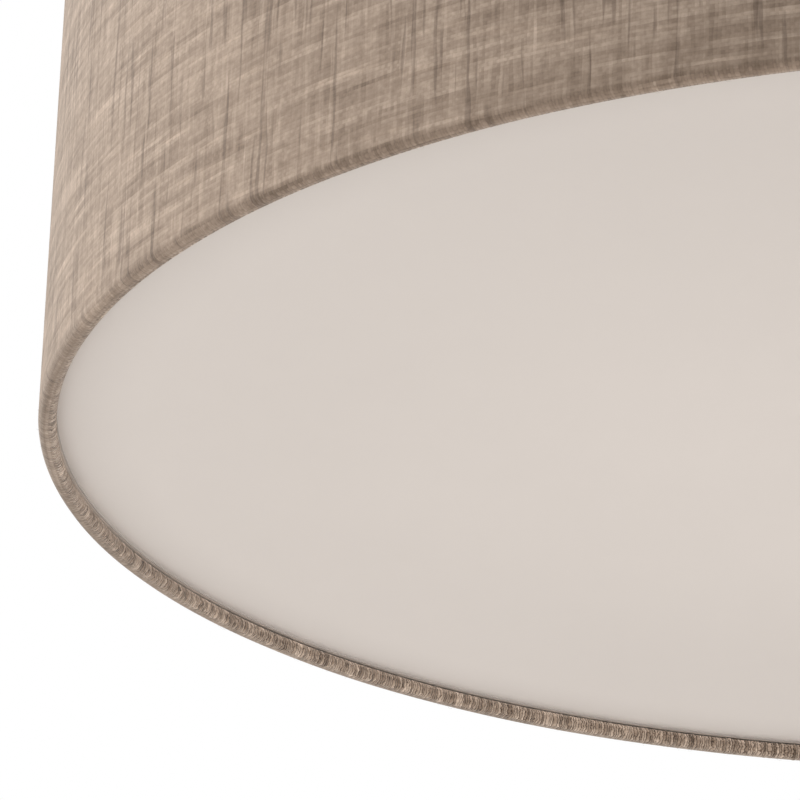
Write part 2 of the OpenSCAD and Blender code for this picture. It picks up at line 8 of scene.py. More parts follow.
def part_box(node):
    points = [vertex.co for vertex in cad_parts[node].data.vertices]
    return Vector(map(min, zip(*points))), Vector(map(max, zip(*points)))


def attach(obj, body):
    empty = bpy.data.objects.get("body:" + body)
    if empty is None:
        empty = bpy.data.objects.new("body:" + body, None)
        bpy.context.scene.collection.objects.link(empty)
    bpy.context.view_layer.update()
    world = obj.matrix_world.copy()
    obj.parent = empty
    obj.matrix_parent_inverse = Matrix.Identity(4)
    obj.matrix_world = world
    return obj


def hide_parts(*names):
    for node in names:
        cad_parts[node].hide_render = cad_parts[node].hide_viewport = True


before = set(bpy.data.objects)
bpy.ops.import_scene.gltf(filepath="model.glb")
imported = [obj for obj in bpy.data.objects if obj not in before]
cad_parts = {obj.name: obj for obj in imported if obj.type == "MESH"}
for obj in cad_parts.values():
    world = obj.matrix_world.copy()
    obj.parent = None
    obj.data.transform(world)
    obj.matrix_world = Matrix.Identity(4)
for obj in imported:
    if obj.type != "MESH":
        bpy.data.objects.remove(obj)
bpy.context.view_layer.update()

bl_info = {
    "name": "Linen drum pendant",
    "version": (1, 0, 0),
    "blender": (4, 5, 0),
    "location": "3D View > Sidebar > Pendant",
    "description": "Dresses the packed drum pendant: linen, diffuser, lamps, metalwork and stage",
    "category": "Object",
}

MM = 0.001

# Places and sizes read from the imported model, in metres
RING_LOW, RING_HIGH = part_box("bottom_ring")
SHADE_LOW, SHADE_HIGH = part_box("shade_cover")
TOP_RING_LOW, TOP_RING_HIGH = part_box("top_ring")
SHADE_R = SHADE_HIGH.x
LOW_RING_Z = (RING_HIGH.z + RING_LOW.z) / 2
TOP_RING_Z = (TOP_RING_HIGH.z + TOP_RING_LOW.z) / 2
ROLL_R = LOW_RING_Z - SHADE_LOW.z
RING_R = SHADE_R - ROLL_R
RIM_Z = SHADE_LOW.z
TAPE_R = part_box("seat_tape")[1].x
LAMP_Z = sum(c.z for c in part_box("bulb_globe_3")) / 2

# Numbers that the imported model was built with
TAPE_WIDTH = 3 * MM
LAMPS = (1, 2, 3)
FIRST_LAMP = np.radians(30)
LAMP_STEP = 2 * np.pi / len(LAMPS)


def number_setting(name, description, default, **more):
    return FloatProperty(name=name, description=description, default=default, **more)


def length_setting(name, description, default):
    return number_setting(name, description, default, unit="LENGTH", precision=5)


def colour_setting(name, description, default):
    return FloatVectorProperty(name=name, description=description, default=default, subtype="COLOR", size=3)


class ShadeSettings(bpy.types.PropertyGroup):
    yarn_pitch: length_setting("Yarn pitch", "Distance between neighbouring yarns", 0.00102)
    linen_thickness: length_setting("Linen thickness", "Thickness of the laminated linen", 0.0004)
    seam_angle: number_setting("Seam angle", "Where the linen's outer edge ends, from +X",
                               np.radians(65.0), unit="ROTATION")
    lap_width: length_setting("Lap width", "How far the linen laps over itself", 0.012)
    slub_height: length_setting("Slub height", "How far the thickest yarns stand out", 0.00050)
    warp_colour: colour_setting("Warp colour", "Colour of the upright yarns", (0.372, 0.282, 0.2175))
    weft_colour: colour_setting("Weft colour", "Colour of the level yarns", (0.412, 0.315, 0.244))
    slub_colour: colour_setting("Slub colour", "Colour of the dark slubs", (0.160, 0.113, 0.084))
    diffuser_colour: colour_setting("Diffuser colour", "Colour of the opal disc", (0.722, 0.664, 0.624))
    columns: IntProperty(name="Columns", description="Points round the linen", default=5280)


class FittingSettings(bpy.types.PropertyGroup):
    nickel_colour: colour_setting("Nickel colour", "Satin nickel metalwork", (0.60, 0.575, 0.54))
    zinc_colour: colour_setting("Zinc colour", "Zinc plated steel", (0.62, 0.64, 0.66))
    coat_colour: colour_setting("Coat colour", "White powder coat", (0.80, 0.79, 0.77))
    brass_colour: colour_setting("Brass colour", "Brass contacts and screws", (0.76, 0.58, 0.28))
    lamp_thread_pitch: length_setting("Lamp thread pitch", "Pitch of the screw caps", 0.00363)
    lamp_thread_depth: length_setting("Lamp thread depth", "Depth of that thread", 0.0010)


class StageSettings(bpy.types.PropertyGroup):
    photo_width: number_setting("Photo width", "Width of the photograph in pixels", 800.0)
    focal_pixels: number_setting("Focal length in pixels", "Fitted to both rim outlines", 4525.09)
    camera_back: length_setting("Camera back", "Camera's distance before the rim's middle", 1.28421)
    camera_down: length_setting("Camera down", "Camera's distance below the rim", 0.47302)
    pitch: number_setting("Pitch", "How far the camera looks up", 0.3703054, unit="ROTATION")
    yaw: number_setting("Yaw", "How far the camera looks to the right of +Y", -0.1505590, unit="ROTATION")
    roll: number_setting("Roll", "How far the camera leans", 0.0329731, unit="ROTATION")
    floor_drop: length_setting("Floor drop", "Floor's distance below the rim", 0.9)
    floor_colour: colour_setting("Floor colour", "Plain pale floor", (0.80, 0.79, 0.78))
    world_strength: number_setting("World strength", "Even light from all round", 0.42)
    key_power: number_setting("Key power", "Power of the soft lamp on the left", 75.5, unit="POWER")
    bounce_power: number_setting("Bounce power", "Power of the soft lamp near the floor", 6.6, unit="POWER")
    fill_power: number_setting("Fill power", "Power of the low soft lamp on the right", 37.0, unit="POWER")


# Meshes

def grid_faces(rows, columns, wrap):
    """Quads between neighbouring points of a grid. wrap joins the last column to the first."""
    row = np.arange(rows - 1)[:, None]
    column = np.arange(columns if wrap else columns - 1)[None, :]
    after = (column + 1) % columns
    corners = (row * columns + column, row * columns + after,
               (row + 1) * columns + after, (row + 1) * columns + column)
    return np.stack(np.broadcast_arrays(*corners), axis=-1).reshape(-1, 4)


def mesh_of(name, points, faces):
    """A mesh from an array of points and an array of quads."""
    mesh = bpy.data.meshes.new(name)
    mesh.vertices.add(len(points))
    mesh.vertices.foreach_set("co", np.asarray(points, np.float32).ravel())
    mesh.loops.add(faces.size)
    mesh.loops.foreach_set("vertex_index", faces.ravel().astype(np.int32))
    mesh.polygons.add(len(faces))
    mesh.polygons.foreach_set("loop_start", np.arange(0, faces.size, 4, dtype=np.int32))
    mesh.update(calc_edges=True)
    mesh.validate()
    return mesh


def smooth(mesh, angle=0.6):
    """Smooth shading, with an edge kept sharp where the faces turn by more than the angle."""
    mesh.polygons.foreach_set("use_smooth", np.ones(len(mesh.polygons), bool))
    mesh.set_sharp_from_angle(angle=angle)


def close_up(mesh):
    """Merges the points that meet at poles and seams, drops faces of no size, and turns all outwards."""
    work = bmesh.new()
    work.from_mesh(mesh)
    bmesh.ops.remove_doubles(work, verts=work.verts, dist=1e-6)
    bmesh.ops.dissolve_degenerate(work, edges=work.edges, dist=1e-7)
    bmesh.ops.recalc_face_normals(work, faces=work.faces)
    work.to_mesh(mesh)
    work.free()


def piece_of(name, mesh, body, material, replaces=()):
    """Links a mesh as a piece that rides a body, and hides the model's parts that it stands in for."""
    piece = bpy.data.objects.new(name, mesh)
    bpy.context.scene.collection.objects.link(piece)
    mesh.materials.clear()
    mesh.materials.append(material)
    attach(piece, body)
    if replaces:
        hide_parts(*replaces)
    return piece


def round_angles(count):
    """Angles spread evenly over one turn."""
    return np.arange(count) * 2 * np.pi / count


def around_axis(radius, turn, height):
    """Points at a distance and an angle about the Z axis, and at a height."""
    return np.stack(np.broadcast_arrays(radius * np.cos(turn), radius * np.sin(turn), height), axis=-1)


def ring_about(middle, radius, across, corner):
    """Points at the corner angles round each middle, in the plane of a sideways vector and the Z axis."""
    up = np.array([0, 0, 1.0])
    disc = np.cos(corner)[:, None] * across[..., None, :] + np.sin(corner)[:, None] * up
    return middle[..., None, :] + radius[..., None, None] * disc


def turned(profile, columns):
    """Points of a turned shape: each profile point (radius, height) is carried once round the Z axis."""
    profile = np.asarray(profile, float)
    return around_axis(profile[:, :1], round_angles(columns), profile[:, 1:])


def turned_mesh(name, grid):
    """A closed mesh from a grid of points whose columns run once round an axis."""
    rows, columns = grid.shape[:2]
    mesh = mesh_of(name, grid.reshape(-1, 3), grid_faces(rows, columns, True))
    close_up(mesh)
    return mesh


def joined(name, meshes):
    """One mesh from several."""
    work = bmesh.new()
    for mesh in meshes:
        work.from_mesh(mesh)
        bpy.data.meshes.remove(mesh)
    mesh = bpy.data.meshes.new(name)
    work.to_mesh(mesh)
    work.free()
    return mesh


def axes_at(turn):
    """Unit vectors out along the radius and sideways, at an angle about the Z axis."""
    return np.array([np.cos(turn), np.sin(turn), 0.0]), np.array([-np.sin(turn), np.cos(turn), 0.0])


def lamp_place(number):
    """A function that sets a shape at a lamp: its Z axis points out along the radius, its X axis down."""
    out, side = axes_at(FIRST_LAMP + (number - 1) * LAMP_STEP)
    down = np.array([0.0, 0.0, -1.0])
    return lambda grid: grid[..., :1] * down + grid[..., 1:2] * side + grid[..., 2:] * out + [0, 0, LAMP_Z]


def lamp_span(node):
    """First and last distance of a lamp's node from the shade's axis, and its radius. They are read on
    the third lamp, which lies on -Y."""
    low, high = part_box(node + "_3")
    return -high.y, -low.y, (high.x - low.x) / 2


def threaded_tube(name, place, radius, first, last, pitch, depth, wall):
    """A tube whose wall is a thread: radius plus depth times a raised cosine of (length / pitch less the
    share of a turn), faded out over the first and the last pitch. It is closed by its own wall."""
    rows_in_pitch = 12
    turn = round_angles(48)
    along = np.linspace(first, last, int((last - first) / pitch * rows_in_pitch) + 2)
    phase = along[:, None] / pitch - turn / (2 * np.pi)
    fade = np.clip(np.minimum(along - first, last - along) / pitch, 0, 1)[:, None]
    outside = radius + (0.5 - 0.5 * np.cos(2 * np.pi * phase)) * depth * fade
    inside = outside[::-1] - wall
    all_radius = np.concatenate([outside, inside, outside[:1]])
    all_along = np.concatenate([along, along[::-1], along[:1]])
    mesh = turned_mesh(name, place(around_axis(all_radius, turn, all_along[:, None])))
    smooth(mesh, 1.0)
    return mesh


# Materials

class Graph:
    """Short names for the nodes of one material or group."""

    def __init__(self, tree):
        self.tree = tree
        self.nodes = tree.nodes

    def put(self, kind, **values):
        node = self.nodes.new(kind)
        for name, value in values.items():
            setattr(node, name, value)
        return node

    def feed(self, socket, value):
        if isinstance(value, bpy.types.NodeSocket):
            self.tree.links.new(value, socket)
        else:
            socket.default_value = value

    def feed_all(self, node, *values):
        """Feeds the node's first sockets in their order."""
        for socket, value in zip(node.inputs, values):
            self.feed(socket, value)
        return node.outputs[0]

    def feed_named(self, node, **values):
        """Feeds the node's sockets by name, with _ for each space."""
        for name, value in values.items():
            self.feed(node.inputs[name.replace("_", " ")], value)

    def math(self, operation, *values):
        return self.feed_all(self.put("ShaderNodeMath", operation=operation), *values)

    def times(self, a, b):
        return self.math("MULTIPLY", a, b)

    def less(self, a, b):
        return self.math("SUBTRACT", a, b)

    def line(self, value, slope, start):
        """The start plus the slope times the value."""
        return self.math("MULTIPLY_ADD", value, slope, start)

    def combine(self, x=0.0, y=0.0, z=0.0):
        return self.feed_all(self.put("ShaderNodeCombineXYZ"), x, y, z)

    def separate(self, vector):
        node = self.put("ShaderNodeSeparateXYZ")
        self.feed(node.inputs[0], vector)
        return node.outputs

    def noise(self, vector, detail=2.0, roughness=0.5, scale=1.0):
        node = self.put("ShaderNodeTexNoise")
        self.feed_named(node, Vector=vector, Scale=scale, Detail=detail, Roughness=roughness)
        return node.outputs["Fac"]

    def random(self, value, seed):
        node = self.put("ShaderNodeTexWhiteNoise", noise_dimensions="2D")
        self.feed(node.inputs["Vector"], self.combine(value, seed))
        return node.outputs["Value"]

    def ramp(self, value, low, high, to_low=0.0, to_high=1.0):
        """A smooth step from to_low, where the value is low, to to_high, where it is high."""
        node = self.put("ShaderNodeMapRange", interpolation_type="SMOOTHSTEP")
        return self.feed_all(node, value, low, high, to_low, to_high)

    def mix(self, factor, a, b, blend="MIX", kind="RGBA"):
        node = self.put("ShaderNodeMix", data_type=kind, blend_type=blend)
        self.feed_named(node, Factor=factor, A=a, B=b)
        return node.outputs["Result"]

    def toned(self, colour, tone):
        """The colour times the tone."""
        return self.mix(1.0, colour, self.combine(tone, tone, tone), "MULTIPLY")

    def place(self):
        return self.put("ShaderNodeTexCoord").outputs["Object"]

    def radius(self):
        """The distance from the object's Z axis."""
        flat = self.feed_all(self.put("ShaderNodeVectorMath", operation="MULTIPLY"), self.place(), (1, 1, 0))
        length = self.put("ShaderNodeVectorMath", operation="LENGTH")
        self.feed(length.inputs[0], flat)
        return length.outputs["Value"]

    def scaled(self, vector, factor):
        node = self.put("ShaderNodeVectorMath", operation="SCALE")
        self.feed_named(node, Vector=vector, Scale=factor)
        return node.outputs[0]

    def stretched(self, vector, scale):
        node = self.put("ShaderNodeMapping")
        self.feed_named(node, Vector=vector, Scale=scale)
        return node.outputs["Vector"]

    def bump(self, height, distance):
        node = self.put("ShaderNodeBump")
        self.feed_named(node, Distance=distance, Strength=1.0, Height=height)
        return node.outputs["Normal"]

    def attribute(self, name):
        return self.put("ShaderNodeAttribute", attribute_name=name).outputs["Fac"]

    def group(self, name, make, **values):
        """A node of the named group, which is made when it is first asked for."""
        node = self.put("ShaderNodeGroup", node_tree=bpy.data.node_groups.get(name) or make())
        self.feed_named(node, **values)
        return node.outputs

    def vary(self, place, cloud_scale, speck_scale):
        """The shared variation of hard finishes at a place."""
        return self.group("Finish variation", wear_group, Position=place,
                          Cloud_Scale=cloud_scale, Speck_Scale=speck_scale)

    def seen(self):
        """1 for rays from the camera, off mirrors and through glass, 0 for others."""
        path = self.put("ShaderNodeLightPath").outputs
        direct = self.math("MAXIMUM", path["Is Camera Ray"], path["Is Glossy Ray"])
        return self.math("MAXIMUM", direct, path["Is Transmission Ray"])


def colour4(colour, factor=1.0):
    return (*(c * factor for c in colour), 1.0)


def new_group(name, inputs, outputs):
    """A shader node group with named sockets. Returns it with its graph, its inputs and its outputs."""
    tree = bpy.data.node_groups.new(name, "ShaderNodeTree")
    for label, kind, default in inputs:
        socket = tree.interface.new_socket(label, in_out="INPUT", socket_type=kind)
        if default is not None:
            socket.default_value = default
    for label, kind in outputs:
        tree.interface.new_socket(label, in_out="OUTPUT", socket_type=kind)
    graph = Graph(tree)
    return tree, graph, graph.put("NodeGroupInput").outputs, graph.put("NodeGroupOutput").inputs


FLOAT, VECTOR, COLOUR = "NodeSocketFloat", "NodeSocketVector", "NodeSocketColor"

# The linen's pattern is drawn in yarns: one unit is the width of one yarn.
# Slow changes of tone in each set of yarns: rate across the yarns, rate along them, strength
WARP_LAYERS = ((0.62, 0.055, 1.45), (0.27, 0.03, 0.4))
WEFT_LAYERS = ((0.56, 0.04, 1.6), (0.34, 0.014, 1.3))
LAYER_GAP = 3.0

# One yarn: how its body changes along it, its width against its body, and where thick streaks lie
NEIGHBOUR_GAP = 7.31
BODY_RATE = 0.55
YARN_WIDTH = (0.8, 0.65)
STREAK_RATES, STREAK_RANGE, STREAK_GAP = (0.56, 0.034), (0.585, 0.705), 9.0

# Noises over the cloth (rate round it, rate along it, detail, roughness) and how far they push yarns
WARP_LEAN, WARP_STRAY = (0.26, 0.04, 2.0), 3.0
WEFT_LEAN, WEFT_STRAY = (0.04, 0.20, 2.0), 1.2
CRINKLE, CRINKLE_STRAY = (0.5, 0.85, 1.0), 1.4
FINE_FIBRES = (1.9, 1.9, 3.0, 0.6)
# Rate round it, rate along it, detail, and how far the tone changes
CLOTH_NOISES = ((0.02, 0.02, 3.0, 0.08), (0.34, 0.62, 2.0, 0.44), (0.72, 0.72, 1.0, 0.32))

# What changes with wrap, as slope and start
LUCK_TONE, LAYER_TONE, BODY_TONE = (0.85, 0.05), (-0.85, 1.0), (1.4, 0.35)
WARP_WAVE, WARP_LEVEL = (-0.32, 0.42), (0.38, 0.9)
WEFT_WAVE, WEFT_LEVEL = (0.15, -0.42), (-0.28, 0.9)
# The first pair below is the strength of the painted shade in the gaps between the yarns
GAP_SHADE_TONE, GRAIN_TONE, GRAIN_BASE = (0.72, 0.08), (0.5, 0.20), (0.06, 0.90)
SLUB_SHARE, RELIEF = (-0.35, 0.55), (1.3, 0.15)

# Seeds, shares, tones, ranges and powers that stay the same
WARP_SEED, WEFT_SEED = 1.5, 5.5
WARP_SHARE, GATHERED_WARP_SHARE = (0.18, 0.41), 0.2
# Strength of the painted shade on sunken level yarns and on the wrapped cloth, and of the painted light and
# shade on the rolls
SUNK_SHADE_TONE, ROLL_SHADE_TONE, PAINTED_SHADING_TONE = 0.62, 0.835, 0.9
STREAK_RISE, STREAK_SHARE, STREAK_LIGHT = 0.4, 0.4, 1.22
TOP_RANGE, GAP_SHADE_RANGE = (-0.25, 0.25), (0.35, 1.15)
GREEN_POWER, BLUE_POWER, FIBRE_RELIEF = 1.09, 1.18, 0.12
# How many times wider than an upright yarn a level one is drawn
WEFT_PITCH = 1 / 0.96


def tone_layers(g, index, along, seed, layers):
    """The sum of slow noises, read once for each yarn and drawn out along it."""
    total = 0.0
    for number, (across_rate, along_rate, strength) in enumerate(layers):
        at = g.combine(g.times(index, across_rate), g.times(along, along_rate),
                       seed + LAYER_GAP * (number + 1))
        total = g.line(g.less(g.noise(at, 1.0), 0.5), strength, total)
    return total


def yarn(g, own, along, seed, wrap, layers):
    """One set of yarns, counted by the whole part of its own coordinate. Returns the yarn's index, the
    round profile across it, its tone and its thick streaks. Yarns that gather on a ring, where wrap is
    high, differ more from one another and less along themselves."""
    index = g.math("FLOOR", own)
    across = g.less(g.math("FRACT", own), 0.5)
    body = g.noise(g.combine(g.times(index, NEIGHBOUR_GAP), g.times(along, BODY_RATE), seed))
    luck = g.less(g.random(index, seed), 0.5)
    ratio = g.math("DIVIDE", g.times(across, 2.0), g.line(body, *YARN_WIDTH))
    arc = g.line(ratio, g.times(ratio, -1.0), 1.0)
    arc = g.math("SQRT", g.math("MAXIMUM", arc, 0.0))
    across_rate, along_rate = STREAK_RATES
    far = g.combine(g.times(own, across_rate), g.times(along, along_rate), seed + STREAK_GAP)
    tone = g.line(luck, g.line(wrap, *LUCK_TONE), 1.0)
    tone = g.line(tone_layers(g, index, along, seed, layers), g.line(wrap, *LAYER_TONE), tone)
    tone = g.line(g.less(body, 0.5), g.line(wrap, *BODY_TONE), tone)
    return index, arc, tone, g.ramp(g.noise(far, 1.0), *STREAK_RANGE)


def weave_group():
    """Plain weave. Two sets of yarns cross at whole numbers of Around and Along. Each yarn is a round
    ridge that rises and falls as a cosine of the other coordinate, and the higher of the two is the one
    seen. Where the cloth gathers on a ring, which Wrap says, the upright yarns stand apart, with painted
    shade in the gaps between them, on the sunken level yarns and over the wrapped cloth. The fourth input is
    painted light above 0 and painted shade below it."""
    tree, g, given, out = new_group(
        "Linen weave",
        [("Around", FLOAT, 0.0), ("Along", FLOAT, 0.0), ("Wrap", FLOAT, 0.0), ("Tuck", FLOAT, 0.0),
         ("Warp", COLOUR, None), ("Weft", COLOUR, None), ("Slub", COLOUR, None)],
        [("Color", COLOUR), ("Height", FLOAT)])
    around, along, wrap = given["Around"], given["Along"], given["Wrap"]
    at = g.combine(around, along)

    def spots(round_rate, along_rate, detail, roughness=0.5):
        return g.noise(g.stretched(at, (round_rate, along_rate, 1)), detail, roughness)

    def wave(position, index):
        half_turns = g.math("ADD", g.less(position, 0.5), index)
        return g.math("COSINE", g.times(half_turns, np.pi))

    def ridge(crossing, index, arc, streak, swing, level):
        lift = g.line(wave(crossing, index), g.line(wrap, *swing), g.line(wrap, *level))
        return g.times(arc, g.line(streak, STREAK_RISE, lift))

    across_warp = g.line(spots(*WARP_LEAN), WARP_STRAY, around)
    across_warp = g.line(spots(*CRINKLE), g.times(wrap, CRINKLE_STRAY), across_warp)
    across_weft = g.line(spots(*WEFT_LEAN), WEFT_STRAY, along)
    warp_i, warp_arc, warp_tone, warp_streak = yarn(g, across_warp, along, WARP_SEED, wrap, WARP_LAYERS)
    weft_i, weft_arc, weft_tone, weft_streak = yarn(g, across_weft, around, WEFT_SEED, 0.0, WEFT_LAYERS)
    warp_high = ridge(across_weft, warp_i, warp_arc, warp_streak, WARP_WAVE, WARP_LEVEL)
    weft_high = ridge(across_warp, weft_i, weft_arc, weft_streak, WEFT_WAVE, WEFT_LEVEL)
    woven = g.math("MAXIMUM", warp_high, weft_high)
    on_top = g.ramp(g.less(warp_high, weft_high), *TOP_RANGE)
    share = g.math("ADD", g.line(on_top, *WARP_SHARE), g.times(wrap, GATHERED_WARP_SHARE))

    # Painted shade in the gaps between the yarns, which grows with wrap
    gap = g.times(g.less(1.0, g.ramp(woven, *GAP_SHADE_RANGE)), g.line(wrap, *GAP_SHADE_TONE))
    # Painted shade on the level yarns where they sink under the upright ones on the rolls
    sunk_shade = g.times(g.less(1.0, on_top), g.times(wrap, SUNK_SHADE_TONE))
    # Painted shade over all the cloth that wraps a ring
    roll_shade = g.ramp(wrap, 0.0, 0.1, 1.0, ROLL_SHADE_TONE)
    tone = g.times(g.mix(share, weft_tone, warp_tone, kind="FLOAT"), g.less(1.0, gap))
    tone = g.times(tone, g.times(roll_shade, g.less(1.0, sunk_shade)))
    for round_rate, along_rate, detail, strength in CLOTH_NOISES:
        patches = spots(round_rate, along_rate, detail)
        tone = g.times(tone, g.line(patches, strength, 1 - strength / 2))
    fine = spots(*FINE_FIBRES)
    tone = g.times(tone, g.line(fine, g.line(wrap, *GRAIN_TONE), g.line(wrap, *GRAIN_BASE)))
    # Painted light where the cloth turns back in past the wire, and painted shade on the roll's inner side
    tone = g.times(tone, g.line(given["Tuck"], PAINTED_SHADING_TONE, 1.0))

    cloth = g.mix(share, given["Weft"], given["Warp"])
    light = g.mix(1.0, given["Weft"], colour4([STREAK_LIGHT] * 3), "MULTIPLY")
    cloth = g.mix(g.times(weft_streak, STREAK_SHARE), cloth, light)
    cloth = g.mix(g.times(warp_streak, g.line(wrap, *SLUB_SHARE)), cloth, given["Slub"])
    warm = g.combine(tone, g.math("POWER", tone, GREEN_POWER), g.math("POWER", tone, BLUE_POWER))
    g.feed(out["Color"], g.mix(1.0, cloth, warm, "MULTIPLY"))
    g.feed(out["Height"], g.line(fine, FIBRE_RELIEF, g.times(woven, g.line(wrap, *RELIEF))))
    return tree


def wear_group():
    """Fine mottling for hard finishes: a slow cloud, a fine speckle and a height made of both."""
    tree, g, given, out = new_group(
        "Finish variation",
        [("Position", VECTOR, None), ("Cloud Scale", FLOAT, 60.0), ("Speck Scale", FLOAT, 1400.0)],
        [("Cloud", FLOAT), ("Speck", FLOAT), ("Height", FLOAT)])
    cloud = g.noise(g.scaled(given["Position"], given["Cloud Scale"]), 4.0, 0.6)
    speck = g.noise(g.scaled(given["Position"], given["Speck Scale"]), 2.0, 0.6)
    g.feed(out["Cloud"], cloud)
    g.feed(out["Speck"], speck)
    g.feed(out["Height"], g.line(cloud, 0.4, speck))
    return tree


# Where the noises of the finish variation mostly lie, for the ramps that read them
CLOUD_RANGE = (0.3, 0.7)
SPECK_RANGE = (0.2, 0.8)

# Painted shade on the disc and on its tape by the distance from the axis: start, end, tone at start and at
# end
DISC_PAINTED_SHADE = (0.05, 0.27, 1.0, 0.925)
DISC_RIM_PAINTED_SHADE = (0.268, 0.2975, 1.0, 0.915)
TAPE_EDGE_SHADE = (TAPE_R - TAPE_WIDTH + 0.05 * MM, TAPE_R - TAPE_WIDTH + 0.4 * MM, 0.62, 1.0)
TAPE_CREASE_SHADE = (TAPE_R - TAPE_WIDTH + 0.8 * MM, TAPE_R - TAPE_WIDTH + 2.2 * MM, 1.0, 0.5)


def new_material(name):
    """A material, with its graph and its Principled shader"""
    material = bpy.data.materials.new(name)
    material.use_nodes = True
    return material, Graph(material.node_tree), material.node_tree.nodes["Principled BSDF"]


def hard_finish(name, colour, roughness, metallic=0.0, tint=0.06, rough_spread=0.12,
                cloud_scale=60.0, speck_scale=1400.0, bump=0.03 * MM, coat=0.0, stretch=(1, 1, 1)):
    """Paint, plastic or metal whose colour, gloss and surface vary a little from place to place."""
    material, g, shader = new_material(name)
    vary = g.vary(g.stretched(g.place(), stretch), cloud_scale, speck_scale)
    shade = g.ramp(vary["Cloud"], *CLOUD_RANGE)
    gloss = (max(roughness - rough_spread, 0.02), min(roughness + rough_spread, 1.0))
    g.feed_named(shader, Base_Color=g.mix(shade, colour4(colour, 1 - tint), colour4(colour, 1 + tint)),
                 Roughness=g.ramp(vary["Speck"], *SPECK_RANGE, *gloss), Metallic=metallic,
                 Coat_Weight=coat, Normal=g.bump(vary["Height"], bump))
    return material


def brushed_metal(name, colour, roughness, stretch):
    """Satin metal with fine brush lines: noise drawn out along the brushing."""
    return hard_finish(name, colour, roughness, metallic=1.0, tint=0.05, rough_spread=0.1,
                       cloud_scale=40.0, speck_scale=1800.0, bump=0.004 * MM, stretch=stretch)


def linen_material(shade):
    """Woven linen, drawn on the sheet's own map, whose units are metres round and along the cloth."""
    material, g, shader = new_material("taupe_linen")
    cloth = g.separate(g.put("ShaderNodeUVMap", uv_map="Cloth").outputs["UV"])
    pitch = 1 / shade.yarn_pitch
    weave = g.group("Linen weave", weave_group,
                    Around=g.times(cloth["X"], pitch), Along=g.times(cloth["Y"], pitch / WEFT_PITCH),
                    Wrap=g.attribute("wrap"), Tuck=g.attribute("painted_shading"),
                    Warp=colour4(shade.warp_colour), Weft=colour4(shade.weft_colour),
                    Slub=colour4(shade.slub_colour))
    g.feed_named(shader, Base_Color=weave["Color"], Roughness=0.92, Specular_IOR_Level=0.2,
                 Sheen_Weight=0.25, Sheen_Roughness=0.5, Normal=g.bump(weave["Height"], 0.3 * MM))
    return material


def opal_material(shade):
    """Matt opal acrylic: nearly even, with the faint cloud and the fine grain of a sanded face, and painted
    shade that deepens towards its rim.
    """
    material, g, shader = new_material("opal_acrylic")
    vary = g.vary(g.place(), cloud_scale=9.0, speck_scale=2600.0)
    radius = g.radius()
    # Painted shade that deepens towards the rim of the disc
    tone = g.times(g.ramp(radius, *DISC_PAINTED_SHADE), g.ramp(radius, *DISC_RIM_PAINTED_SHADE))
    tone = g.times(tone, g.ramp(vary["Cloud"], *CLOUD_RANGE, 0.99, 1.005))
    g.feed_named(shader, Base_Color=g.toned(colour4(shade.diffuser_colour), tone),
                 Roughness=g.ramp(vary["Speck"], *SPECK_RANGE, 0.66, 0.78), Specular_IOR_Level=0.3,
                 Normal=g.bump(vary["Speck"], 0.006 * MM))
    return material


def tape_material():
    """Soft pale tape, with painted shade on its cut inner edge and painted shade that deepens over its outer
    half towards the roll.
    """
    material, g, shader = new_material("pale_tape")
    vary = g.vary(g.place(), cloud_scale=60.0, speck_scale=2200.0)
    radius = g.radius()
    # Painted shade on the cut inner edge and towards the roll
    tone = g.times(g.ramp(radius, *TAPE_EDGE_SHADE), g.ramp(radius, *TAPE_CREASE_SHADE))
    g.feed_named(shader, Base_Color=g.toned(colour4((0.66, 0.60, 0.555)), tone),
                 Roughness=g.ramp(vary["Speck"], *SPECK_RANGE, 0.75, 0.95),
                 Normal=g.bump(vary["Height"], 0.03 * MM))
    return material


def thread_material(name, colour, pitch, roughness):
    """Zinc plated rod with a rolled thread: rings of one pitch up the object's Z axis, with painted shade in
    the grooves.
    """
    material, g, shader = new_material(name)
    vary = g.vary(g.place(), cloud_scale=200.0, speck_scale=2500.0)
    ring = g.math("SINE", g.times(g.separate(g.place())["Z"], 2 * np.pi / pitch))
    # Painted shade: the grooves of the thread are drawn darker
    groove = g.ramp(ring, -1.0, 0.2)
    gloss = (roughness - 0.08, roughness + 0.1)
    g.feed_named(shader, Base_Color=g.mix(groove, colour4(colour, 0.45), colour4(colour)), Metallic=1.0,
                 Roughness=g.ramp(vary["Speck"], *SPECK_RANGE, *gloss), Normal=g.bump(ring, pitch * 0.3))
    return material


def dress(material, *nodes):
    """Gives CAD nodes a material in place of their own."""
    for name in nodes:
        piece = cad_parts[name]
        piece.data.materials.clear()
        piece.data.materials.append(material)


# Operators

# Soft lamps of the stage: place and width, in metres. All face a spot a little above the rim.
KEY_SPOT, KEY_WIDTH = (-2.75, -0.25, RIM_Z + 1.6), 1.8
FILL_SPOT, FILL_WIDTH = (2.4, -0.4, RIM_Z - 0.45), 1.2
BOUNCE_X, BOUNCE_ABOVE_FLOOR, BOUNCE_WIDTH = -0.1, 0.02, 2.0
STAGE_AIM = Vector((0, 0, RIM_Z + 0.05))


